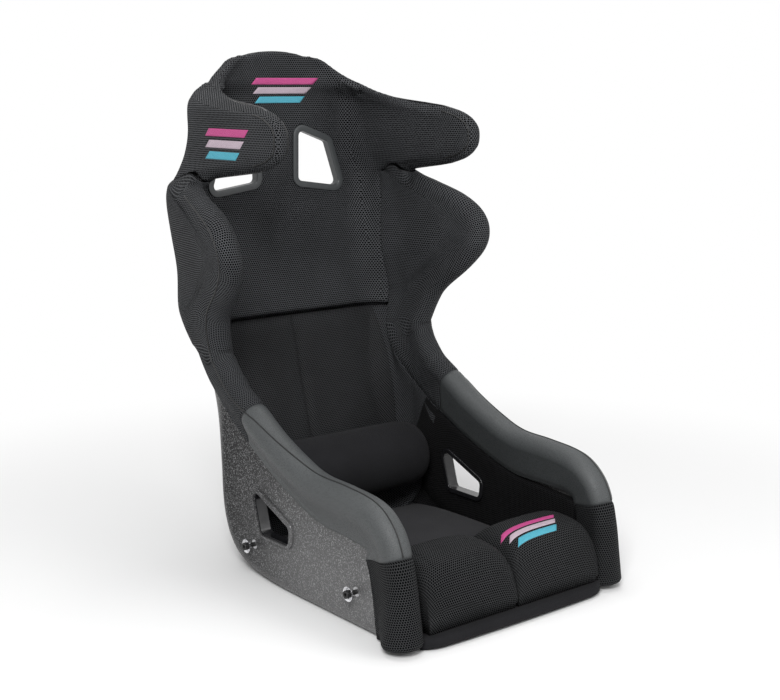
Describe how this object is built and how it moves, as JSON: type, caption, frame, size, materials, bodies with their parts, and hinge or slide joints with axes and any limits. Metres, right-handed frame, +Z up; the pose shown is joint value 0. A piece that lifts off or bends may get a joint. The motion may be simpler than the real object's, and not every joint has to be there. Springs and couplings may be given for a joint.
{
  "type": "racing seat",
  "caption": "Fixed-back racing bucket seat with side head wings, harness openings, removable seat, thigh and back cushions and side stud mounts.",
  "frame": {"origin": "on the floor, on the seat's symmetry plane, at the middle of its depth", "axes": "+Z up, the seat faces -Y, +X to the seat's left-hand side of someone sitting in it, so that x = 0 is the symmetry plane"},
  "size_m": [0.6004, 0.706, 0.908],
  "materials": {
    "gel_coat": "glass-fibre laminate with a gloss grey gel coat and a fine metallic fleck",
    "insert_steel": "plain steel strip with welded threaded collars, laminated into the tub",
    "bolt_steel": "black oxide",
    "washer_chrome": "polished, dished",
    "bezel_satin": "satin moulded plastic",
    "bezel_gloss": "gloss moulded plastic",
    "mesh_fabric": "black spacer mesh with hexagonal cells",
    "knit_fabric": "smooth black knit",
    "ribbed_fabric": "black fabric with fine ribs",
    "vinyl": "grained dark grey vinyl with a stitched seam",
    "tape": "hook-and-loop tape"
  },
  "bodies": {
    "seat": {"shell": "gel_coat", "mount_insert_left": "insert_steel", "mount_insert_right": "insert_steel", "side_bolts": "bolt_steel", "cup_washers": "washer_chrome", "shoulder_bezel_left": "bezel_satin", "shoulder_bezel_right": "bezel_satin", "lap_bezel_left": "bezel_gloss", "lap_bezel_right": "bezel_gloss", "pan_foam": "mesh_fabric", "front_lip_pad": "knit_fabric", "side_liner_left": "mesh_fabric", "side_liner_right": "mesh_fabric", "lower_back_pad": "mesh_fabric", "upper_back_pad": "mesh_fabric", "head_pad": "mesh_fabric", "front_post_left": "mesh_fabric", "front_post_right": "mesh_fabric", "thigh_bolster_left": "vinyl", "thigh_bolster_right": "vinyl", "shoulder_bolster_left": "mesh_fabric", "shoulder_bolster_right": "mesh_fabric", "head_wing_left": "mesh_fabric", "head_wing_right": "mesh_fabric", "seat_tape": "tape", "back_tape": "tape"},
    "base_cushion": {"base_cushion": "ribbed_fabric"},
    "thigh_cushion_left": {"thigh_cushion_left": "mesh_fabric"},
    "thigh_cushion_right": {"thigh_cushion_right": "mesh_fabric"},
    "back_cushion": {"back_cushion": "mesh_fabric"},
    "lumbar_pillow": {"lumbar_pillow": "knit_fabric"}
  },
  "joints": [
    {"name": "base_cushion_pull", "type": "slide", "parent": "seat", "child": "base_cushion", "axis": [0, -0.9854, 0.1701], "range_m": [0, 0.06]},
    {"name": "thigh_lift_left", "type": "slide", "parent": "base_cushion", "child": "thigh_cushion_left", "axis": [0, 0, 1], "range_m": [0, 0.06]},
    {"name": "thigh_lift_right", "type": "slide", "parent": "base_cushion", "child": "thigh_cushion_right", "axis": [0, 0, 1], "range_m": [0, 0.06]},
    {"name": "back_cushion_pull", "type": "slide", "parent": "seat", "child": "back_cushion", "axis": [0, -0.9744, 0.225], "range_m": [0, 0.04]},
    {"name": "lumbar_pull", "type": "slide", "parent": "back_cushion", "child": "lumbar_pillow", "axis": [0, -0.9744, 0.225], "range_m": [0, 0.08]}
  ]
}
